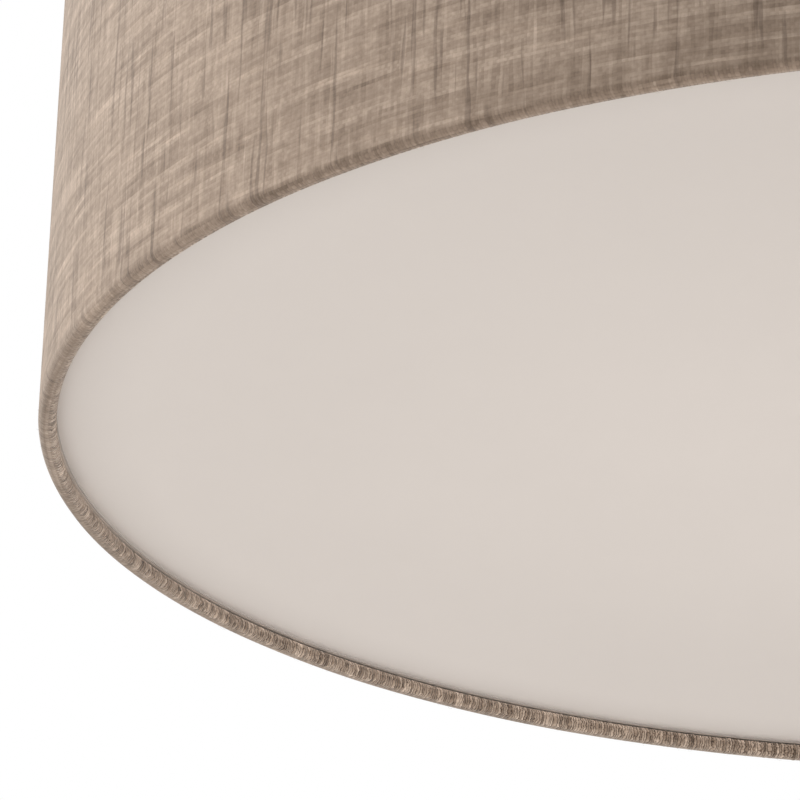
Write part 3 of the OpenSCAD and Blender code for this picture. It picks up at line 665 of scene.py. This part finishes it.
class PENDANT_OT_stage(bpy.types.Operator):
    """Floor, world, soft lamps and the photograph's camera"""
    bl_idname = "pendant.stage"
    bl_label = "Stage"

    def execute(self, context):
        stage = context.scene.pendant_stage
        bounce_spot = (BOUNCE_X, 0.0, RIM_Z - stage.floor_drop + BOUNCE_ABOVE_FLOOR)
        self.make_camera(context, stage)
        self.make_world(context, stage)
        self.make_floor(context, stage)
        self.make_lamp(context, "key", KEY_SPOT, KEY_WIDTH, stage.key_power)
        self.make_lamp(context, "bounce", bounce_spot, BOUNCE_WIDTH, stage.bounce_power)
        self.make_lamp(context, "fill", FILL_SPOT, FILL_WIDTH, stage.fill_power)
        context.scene.view_settings.view_transform = "Standard"
        return {"FINISHED"}

    def make_camera(self, context, stage):
        """The camera's axes from yaw, pitch and roll, as they were fitted to the rim outlines."""
        yaw, pitch, roll = stage.yaw, stage.pitch, stage.roll
        look = Vector((np.sin(yaw) * np.cos(pitch), np.cos(yaw) * np.cos(pitch), np.sin(pitch)))
        level = Vector((np.cos(yaw), -np.sin(yaw), 0))
        upright = level.cross(look)
        right = level * np.cos(roll) + upright * np.sin(roll)
        up = upright * np.cos(roll) - level * np.sin(roll)
        data = bpy.data.cameras.new("camera")
        data.sensor_fit = "HORIZONTAL"
        data.sensor_width = 36.0
        data.lens = stage.focal_pixels / stage.photo_width * data.sensor_width
        data.clip_start = 0.01
        data.clip_end = 100.0
        camera = bpy.data.objects.new("camera", data)
        context.scene.collection.objects.link(camera)
        spot = Vector((0, -stage.camera_back, RIM_Z - stage.camera_down))
        camera.matrix_world = Matrix.Translation(spot) @ Matrix((right, up, -look)).transposed().to_4x4()
        context.scene.camera = camera

    def make_world(self, context, stage):
        """Even light, and plain white to the camera, to mirrors and through glass."""
        world = bpy.data.worlds.new("studio")
        world.use_nodes = True
        g = Graph(world.node_tree)
        light = world.node_tree.nodes["Background"]
        g.feed_named(light, Color=(1.0, 0.995, 0.985, 1.0), Strength=stage.world_strength)
        white = g.put("ShaderNodeBackground")
        g.feed_named(white, Color=(1.0, 1.0, 1.0, 1.0), Strength=1.0)
        both = g.feed_all(g.put("ShaderNodeMixShader"), g.seen(), light.outputs[0], white.outputs[0])
        g.feed(world.node_tree.nodes["World Output"].inputs["Surface"], both)
        context.scene.world = world

    def make_floor(self, context, stage):
        """A wide plain floor that is clear from below. It shows its own shading, shadow included, and to
        the camera and mirrors a little white on top."""
        reach = 30.0
        z = RIM_Z - stage.floor_drop
        corners = np.array([[x, y, z] for y in (-reach, reach) for x in (-reach, reach)])
        mesh = mesh_of("floor", corners, grid_faces(2, 2, False))
        material, g, shader = new_material("floor")
        speck = g.noise(g.place(), 4.0, scale=3.0)
        darker, lighter = colour4(stage.floor_colour, 0.99), colour4(stage.floor_colour, 1.01)
        g.feed_named(shader, Base_Color=g.mix(speck, darker, lighter), Roughness=0.9, Specular_IOR_Level=0.1)
        glow = g.put("ShaderNodeEmission")
        g.feed(glow.inputs["Strength"], g.times(g.seen(), 0.35))
        shown = g.feed_all(g.put("ShaderNodeAddShader"), shader.outputs[0], glow.outputs[0])
        below = g.put("ShaderNodeNewGeometry").outputs["Backfacing"]
        clear = g.put("ShaderNodeBsdfTransparent").outputs[0]
        both = g.feed_all(g.put("ShaderNodeMixShader"), below, shown, clear)
        g.feed(g.nodes["Material Output"].inputs["Surface"], both)
        mesh.materials.append(material)
        floor = bpy.data.objects.new("floor", mesh)
        context.scene.collection.objects.link(floor)

    def make_lamp(self, context, name, spot, width, power):
        """A square soft lamp that faces the shade and isn't seen itself."""
        data = bpy.data.lights.new(name, "AREA")
        data.shape = "SQUARE"
        data.size = width
        data.energy = power
        data.color = (1.0, 0.99, 0.97)
        lamp = bpy.data.objects.new(name, data)
        context.scene.collection.objects.link(lamp)
        aim = STAGE_AIM - Vector(spot)
        lamp.matrix_world = Matrix.Translation(spot) @ aim.to_track_quat("-Z", "Y").to_matrix().to_4x4()
        lamp.visible_camera = False


# The linen round a ring's wire, in degrees from outward by way of the rim's edge at 90: where the sheet
# ends, where its yarns gather, where painted shade lies on the roll's inner side, and where painted light
# starts past it
TOP_TUCK_END, LOW_TUCK_END = 245, 268
TOP_POINTS, LOW_POINTS = 7, 12
GATHER_START, GATHER_SPAN = 92, 30
PAINTED_SHADE_MIDDLE, PAINTED_SHADE_SPAN = 168, 28
PAINTED_LIGHT_START, PAINTED_LIGHT_SPAN = 195, 45
# Wrap just past the wall, and how strong the painted light and the painted shade on the roll are
BEND, FIRST_WRAP, PAINTED_LIGHT, PAINTED_SHADE = 0.3, 0.12, 1.3, 0.17
# Slow waves of the wall: height, number of waves in a turn, start
WALL_WAVES = ((0.04 * MM, 9, 0.0), (0.03 * MM, 23, 1.3))


class PENDANT_OT_linen(bpy.types.Operator):
    """The linen wall with both rolled rims, and the fibres that stand off the lower roll"""
    bl_idname = "pendant.linen"
    bl_label = "Linen"

    def execute(self, context):
        shade = context.scene.pendant_shade
        self.make_sheet(shade, linen_material(shade))
        self.make_fibres()
        return {"FINISHED"}

    def profile(self):
        """The sheet's path in section: out of its tucked end over the upper roll, down the wall and round the
        lower roll into its tucked end. Returns the path's points, the way walked so far, and wrap and the
        painted light and shade at each point, which follow the angle round the wire."""
        first = np.radians(np.linspace(TOP_TUCK_END, 0, TOP_POINTS))
        last = np.radians(np.linspace(0, LOW_TUCK_END, LOW_POINTS))
        top = np.stack([RING_R + ROLL_R * np.cos(first), TOP_RING_Z + ROLL_R * np.sin(first)], 1)
        low = np.stack([RING_R + ROLL_R * np.cos(last), LOW_RING_Z - ROLL_R * np.sin(last)], 1)
        path = np.concatenate([top, low])
        way = np.concatenate([[0], np.cumsum(np.linalg.norm(np.diff(path, axis=0), axis=1))])
        angle = np.concatenate([first, last])

        def past(start, span):
            return np.clip((angle - np.radians(start)) / np.radians(span), 0, 1)

        wrap = FIRST_WRAP * np.clip(angle / BEND, 0, 1) + (1 - FIRST_WRAP) * past(GATHER_START, GATHER_SPAN)
        painted_shade_share = np.exp(-((angle - np.radians(PAINTED_SHADE_MIDDLE)) / np.radians(PAINTED_SHADE_SPAN)) ** 2)
        # Painted light where the cloth turns back in past the wire, and painted shade on the roll's inner
        # side
        painted_shading = PAINTED_LIGHT * past(PAINTED_LIGHT_START, PAINTED_LIGHT_SPAN) - PAINTED_SHADE * painted_shade_share
        return path, way, wrap, painted_shading

    def slubs(self, turn, way, height):
        """Thick yarns that cross the rolls: narrow bumps at random places round the shade, each with its
        own height, that fade in and out along the yarn."""
        random = np.random.default_rng(7)
        count, share_on_top, spread = 2600, 0.4, 12 * MM
        centre = random.uniform(0, 2 * np.pi, count)
        width = random.uniform(0.30, 0.60, count) * MM / SHADE_R
        rise = random.gamma(1.8, 0.22, count).clip(0, 1.1) * height
        start = np.where(random.random(count) < share_on_top, 0, way[-1])
        start = start + random.uniform(-spread, spread, count)
        reach = random.uniform(2 * MM, 12 * MM, count)
        bump = np.zeros((len(way), len(turn)))
        for place, wide, high, first, long in zip(centre, width, rise, start, reach):
            column = int(place / (2 * np.pi) * (len(turn) - 1))
            near = np.arange(column - 4, column + 5) % len(turn)
            gap = (turn[near] - place + np.pi) % (2 * np.pi) - np.pi
            across = np.exp(-(gap / wide) ** 2)
            along = np.exp(-((way - first) / long) ** 2)
            bump[:, near] += high * along[:, None] * across
        return bump

    def make_sheet(self, shade, linen):
        """The sheet is the section carried round the shade for one turn and one lap. Its start lies under
        its end, which is one thickness further out. Slubs and a slow wave push points along the normal."""
        path, way, wrap, painted_shading = self.profile()
        lap = shade.lap_width / SHADE_R
        step = 2 * np.pi / shade.columns
        sweep = np.arange(int(round((2 * np.pi + lap) / step)) + 1) * step
        steepest = 60
        past_lap = (sweep - 2 * np.pi + lap * 0.2) / (step * 1.5)
        over = 1 / (1 + np.exp(-np.clip(past_lap, -steepest, steepest)))
        turn = shade.seam_angle - lap + sweep
        tangent = np.gradient(path, axis=0)
        tangent /= np.linalg.norm(tangent, axis=1, keepdims=True)
        normal = np.stack([-tangent[:, 1], tangent[:, 0]], 1)
        wave = sum(height * np.sin(count * turn + start) for height, count, start in WALL_WAVES)
        lift = self.slubs(sweep % (2 * np.pi), way, shade.slub_height) * np.clip(wrap * 3, 0, 1)[:, None]
        lift = lift + wave + over * shade.linen_thickness
        lift = lift - lift[:, :1] * np.exp(-sweep / (3 * step))
        lift[:, -1] = 0.02 * MM
        grid = around_axis(path[:, :1] + normal[:, :1] * lift, turn, path[:, 1:] + normal[:, 1:] * lift)
        rows, columns = grid.shape[:2]
        mesh = mesh_of("linen_sheet", grid.reshape(-1, 3), grid_faces(rows, columns, False)[:, ::-1])
        smooth(mesh, 1.2)
        self.add_maps(mesh, way, sweep, rows, columns)
        for name, values in (("wrap", wrap), ("painted_shading", painted_shading)):
            layer = mesh.attributes.new(name, "FLOAT", "POINT")
            layer.data.foreach_set("value", np.repeat(values, columns).astype(np.float32))
        sheet = piece_of("linen_sheet", mesh, "stem", linen, ("shade_cover",))

    def add_maps(self, mesh, way, sweep, rows, columns):
        """Two maps: one in metres of cloth for the weave, and one that fills the square."""
        corner = np.zeros(len(mesh.loops), np.int32)
        mesh.loops.foreach_get("vertex_index", corner)
        row, column = corner // columns, corner % columns
        cloth = np.stack([sweep[column] * SHADE_R, way[row]], 1)
        square = np.stack([sweep[column] / sweep[-1], way[row] / way[-1]], 1)
        for name, values in (("Cloth", cloth), ("OFBake", square)):
            layer = mesh.uv_layers.new(name=name)
            layer.uv.foreach_set("vector", values.astype(np.float32).ravel())

    def make_fibres(self):
        """Loose fibres on the lower roll: thin three sided hairs that leave the cloth and curl back."""
        random = np.random.default_rng(21)
        count, steps, sides = 420, 6, 3
        turn = random.uniform(0, 2 * np.pi, count)
        side = random.uniform(np.radians(-10), np.radians(200), count)
        length = random.uniform(1.0, 3.2, count) * MM
        lean = random.uniform(-1.0, 1.0, count)
        curl = random.uniform(-1.2, 1.2, count)
        root_depth, root_r, taper = 0.05 * MM, 0.03 * MM, 0.7
        stand, arch, curl_back = 0.22, 0.8, 0.45
        s = np.linspace(0, 1, steps)
        rise = ROLL_R + length[:, None] * stand * np.sin(np.pi * s * arch) - root_depth
        swing = side[:, None] + (length[:, None] / ROLL_R) * curl_back * curl[:, None] * s ** 2
        drift = turn[:, None] + length[:, None] * lean[:, None] * s / SHADE_R
        line = around_axis(RING_R + rise * np.cos(swing), drift, LOW_RING_Z - rise * np.sin(swing))
        outward = around_axis(1, turn, 0)[:, None, :]
        points = ring_about(line, root_r * (1 - taper * s), outward, round_angles(sides))
        one = grid_faces(steps, sides, True)
        faces = (one[None] + (np.arange(count) * steps * sides)[:, None, None]).reshape(-1, 4)
        mesh = mesh_of("loose_fibres", points.reshape(-1, 3), faces)
        smooth(mesh)
        fibre = hard_finish("flax_fibre", (0.42, 0.35, 0.27), 0.8, tint=0.3, bump=0.005 * MM)
        piece_of("loose_fibres", mesh, "stem", fibre)


class PENDANT_OT_shade_inside(bpy.types.Operator):
    """The liner, the rings, the spider with its welds, the diffuser and its tape"""
    bl_idname = "pendant.shade_inside"
    bl_label = "Shade inside"

    def execute(self, context):
        fittings = context.scene.pendant_fittings
        liner = hard_finish("white_pvc", (0.80, 0.785, 0.75), 0.42, tint=0.02, cloud_scale=14.0,
                            speck_scale=700.0, bump=0.02 * MM)
        wire = hard_finish("white_coated_wire", fittings.coat_colour, 0.28, tint=0.03,
                           cloud_scale=90.0, speck_scale=900.0, coat=0.3)
        dress(liner, "shade_liner")
        dress(wire, "top_ring", "bottom_ring", "spider")
        dress(opal_material(context.scene.pendant_shade), "diffuser")
        dress(tape_material(), "seat_tape")
        self.make_welds(wire)
        return {"FINISHED"}

    def make_welds(self, wire):
        """A rippled bead on each side of every arm where it lies on the hub plate: a half round carried
        along the arm, whose size rises and falls with each weld drop."""
        plate_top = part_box("hub_cap")[0].z
        arm_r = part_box("spider")[1].z - TOP_RING_Z
        bead_r, bead_start, bead_length, bead_rise = 1.1 * MM, 22.5 * MM, 6.8 * MM, 0.4 * MM
        beside_arm, ripple, drops = 0.72 * arm_r, 0.16, 40
        s = np.linspace(0, 1, 24)
        size = bead_r * np.sqrt(np.clip(np.sin(np.pi * s), 0, 1)) * (1 + ripple * np.sin(s * drops))
        along = bead_start + s * bead_length
        ring = round_angles(8)
        meshes = []
        for number in LAMPS:
            out, across = axes_at(FIRST_LAMP + LAMP_STEP / 2 + (number - 1) * LAMP_STEP)
            for hand in (-1, 1):
                middle = along[:, None] * out + hand * beside_arm * across + [0, 0, plate_top + bead_rise]
                meshes.append(turned_mesh("bead", ring_about(middle, size, across, ring)))
        mesh = joined("weld_beads", meshes)
        smooth(mesh, 1.0)
        piece_of("weld_beads", mesh, "stem", wire)


class PENDANT_OT_lampholders(bpy.types.Operator):
    """The lampholders, their shells and contacts, and the cluster they stand on"""
    bl_idname = "pendant.lampholders"
    bl_label = "Lampholders"

    def execute(self, context):
        fittings = context.scene.pendant_fittings
        white = hard_finish("white_thermoplastic", (0.80, 0.79, 0.76), 0.38, tint=0.02, speck_scale=1600.0)
        brass = hard_finish("brass", fittings.brass_colour, 0.3, metallic=1.0, tint=0.1, speck_scale=900.0)
        coat = hard_finish("powder_coated_steel", fittings.coat_colour, 0.5, tint=0.02, cloud_scale=80.0,
                           speck_scale=1300.0, bump=0.06 * MM)
        dress(coat, "cluster_body", "cluster_cover", "canopy")
        for number in LAMPS:
            self.make_shell(number, brass, fittings)
            dress(white, f"lampholder_body_{number}", f"lampholder_cap_{number}")
            dress(brass, f"centre_contact_{number}")
        dress(brass, "earth_screw")
        return {"FINISHED"}

    def make_shell(self, number, brass, fittings):
        """A rolled brass shell, whose wall is the screw thread."""
        clearance, groove, wall = 0.1 * MM, 0.35 * MM, 0.4 * MM
        first, last, outer = lamp_span("screw_shell")
        mesh = threaded_tube(f"rolled_shell_{number}", lamp_place(number), outer - clearance, first, last,
                             fittings.lamp_thread_pitch, -groove, wall)
        piece_of(f"rolled_shell_{number}", mesh, "stem", brass, (f"screw_shell_{number}",))


class PENDANT_OT_bulbs(bpy.types.Operator):
    """The bulbs: opal globe, ribbed housing and threaded cap with its tip"""
    bl_idname = "pendant.bulbs"
    bl_label = "Bulbs"

    def execute(self, context):
        opal = hard_finish("opal_glass", (0.83, 0.825, 0.80), 0.32, tint=0.01, cloud_scale=20.0,
                           speck_scale=900.0, bump=0.01 * MM, coat=0.2)
        housing = hard_finish("bulb_housing", (0.80, 0.80, 0.78), 0.4, tint=0.02, speck_scale=1200.0)
        cap = hard_finish("nickel_plated_cap", (0.66, 0.65, 0.62), 0.22, metallic=1.0)
        black = hard_finish("black_insulator", (0.02, 0.02, 0.022), 0.35, tint=0.2)
        for number in LAMPS:
            dress(opal, f"bulb_globe_{number}")
            dress(housing, f"bulb_base_{number}")
            self.make_cap(number, cap, black, context.scene.pendant_fittings)
        return {"FINISHED"}

    def make_cap(self, number, cap, black, fittings):
        """The thread is a tube as on the shells. The insulator is a turned cone, and the tip a low dome.
        Both profiles are pairs of radius and distance from the cap's first point."""
        place = lamp_place(number)
        body = f"bulb_{number}"
        first, last, outer = lamp_span("bulb_cap")
        thread_start, wall = 5 * MM, 0.5 * MM
        inner = outer - 0.6 * MM
        tip_r, tip_rise = 4.5 * MM, 0.9 * MM
        cone = [(0, 0.7 * MM), (4.6 * MM, 0.9 * MM), (10.5 * MM, 3.8 * MM), (inner, 5.2 * MM),
                (inner, 6.2 * MM), (0, 6.2 * MM)]
        bow = np.linspace(0, np.pi / 2, 6)
        dome = [(tip_r * np.sin(a), tip_rise - tip_rise * np.cos(a)) for a in bow]
        dome += [(tip_r, 1.1 * MM), (0, 1.1 * MM)]
        mesh = threaded_tube(f"bulb_thread_{number}", place, outer, first + thread_start, last,
                             fittings.lamp_thread_pitch, -fittings.lamp_thread_depth, wall)
        piece_of(f"bulb_thread_{number}", mesh, body, cap, (f"bulb_cap_{number}",))
        for name, profile, columns, finish in (("insulator", cone, 48, black), ("tip", dome, 32, cap)):
            grid = turned(np.array(profile) + [0, first], columns)
            mesh = turned_mesh(f"bulb_{name}_{number}", place(grid))
            smooth(mesh)
            piece_of(f"bulb_{name}_{number}", mesh, body, finish)


class PENDANT_OT_metalwork(bpy.types.Operator):
    """Stem, swivel, nuts, nipples and the ceiling hardware"""
    bl_idname = "pendant.metalwork"
    bl_label = "Metalwork"

    def execute(self, context):
        fittings = context.scene.pendant_fittings
        nickel = brushed_metal("satin_nickel", fittings.nickel_colour, 0.34, (1, 1, 0.04))
        zinc = hard_finish("zinc_plated_steel", fittings.zinc_colour, 0.36, metallic=1.0, tint=0.08,
                           cloud_scale=140.0, speck_scale=1500.0)
        rod = thread_material("zinc_thread", fittings.zinc_colour, MM, 0.35)
        dress(nickel, "stem_tube", "stem_collar", "hub_cap", "swivel_top", "swivel_bottom",
              "pivot_screws", "cover_finial")
        dress(zinc, "ceiling_bracket", "bracket_nuts", "swivel_nut", "cluster_nut", "lamp_nuts",
              "lamp_nipples")
        dress(rod, "ceiling_nipple", "upper_nipple", "lower_nipple")
        dress(hard_finish("white_nylon", (0.80, 0.80, 0.77), 0.5, tint=0.02), "canopy_bush")
        dress(hard_finish("ivory_nylon", (0.74, 0.70, 0.58), 0.45, tint=0.04), "terminal_block")
        self.make_thumb_screws(nickel)
        return {"FINISHED"}

    def make_thumb_screws(self, nickel):
        """Two knurled screws: a turned head whose radius is cut by a fine wave round the axis. Both
        profiles are pairs of radius and distance from the head's seat."""
        low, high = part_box("canopy_screws")
        head_r = (high.z - low.z) / 2
        middle_z = (high.z + low.z) / 2
        head_l, shank_l, shank_r = 5 * MM, 7.2 * MM, 2 * MM
        chamfer, edge_r, point = 0.5 * MM, 0.8 * MM, 0.3 * MM
        ridges, ridge_depth = 36, 0.28 * MM
        seat = high.x - head_l
        bow = np.linspace(0, np.pi / 2, 5)
        head = [(0, 0), (head_r - chamfer, 0), (head_r, chamfer)]
        head += [(head_r, a) for a in np.linspace(0.7 * MM, head_l - 0.9 * MM, 4)]
        head += [(head_r - edge_r + edge_r * np.cos(a), head_l - edge_r + edge_r * np.sin(a)) for a in bow]
        head = np.array(head + [(0, head_l)])
        grid = turned(head, 180)
        cut = (0.5 - 0.5 * np.cos(ridges * round_angles(180))) * ridge_depth
        on_side = (head[:, 0] >= head_r - 1e-6)[:, None]
        grid[..., :2] *= (1 - on_side * cut / head_r)[..., None]
        shank = turned([(0, -shank_l), (shank_r - point, -shank_l), (shank_r, -shank_l + point),
                        (shank_r, 0.2 * MM), (0, 0.2 * MM)], 32)
        meshes = []
        for side in (-1, 1):
            for part in (grid, shank):
                away, across, up = seat + part[..., 2], part[..., 0], part[..., 1] + middle_z
                meshes.append(turned_mesh("part", np.stack([side * away, side * across, up], -1)))
        mesh = joined("thumb_screws", meshes)
        smooth(mesh, 0.7)
        piece_of("thumb_screws", mesh, "ceiling_mount", nickel, ("canopy_screws",))


class PENDANT_PT_panel(bpy.types.Panel):
    """Buttons that make the pendant, in order"""
    bl_idname = "PENDANT_PT_panel"
    bl_label = "Linen drum pendant"
    bl_space_type = "VIEW_3D"
    bl_region_type = "UI"
    bl_category = "Pendant"

    def draw(self, context):
        for name in SETTINGS:
            settings = getattr(context.scene, name)
            box = self.layout.box()
            for label in settings.__annotations__:
                box.prop(settings, label)
        for operator in OPERATORS:
            self.layout.operator(operator.bl_idname)


SETTINGS = {"pendant_shade": ShadeSettings, "pendant_fittings": FittingSettings,
            "pendant_stage": StageSettings}
OPERATORS = (PENDANT_OT_stage, PENDANT_OT_linen, PENDANT_OT_shade_inside, PENDANT_OT_lampholders,
             PENDANT_OT_bulbs, PENDANT_OT_metalwork)


def register():
    for kind in (*SETTINGS.values(), *OPERATORS, PENDANT_PT_panel):
        bpy.utils.register_class(kind)
    for name, kind in SETTINGS.items():
        setattr(bpy.types.Scene, name, PointerProperty(type=kind))


def unregister():
    for name in SETTINGS:
        delattr(bpy.types.Scene, name)
    for kind in (PENDANT_PT_panel, *reversed(OPERATORS), *SETTINGS.values()):
        bpy.utils.unregister_class(kind)


def main():
    register()
    bpy.ops.pendant.stage()
    bpy.ops.pendant.linen()
    bpy.ops.pendant.shade_inside()
    bpy.ops.pendant.lampholders()
    bpy.ops.pendant.bulbs()
    bpy.ops.pendant.metalwork()
    bpy.context.view_layer.update()


if __name__ == "__main__":
    main()
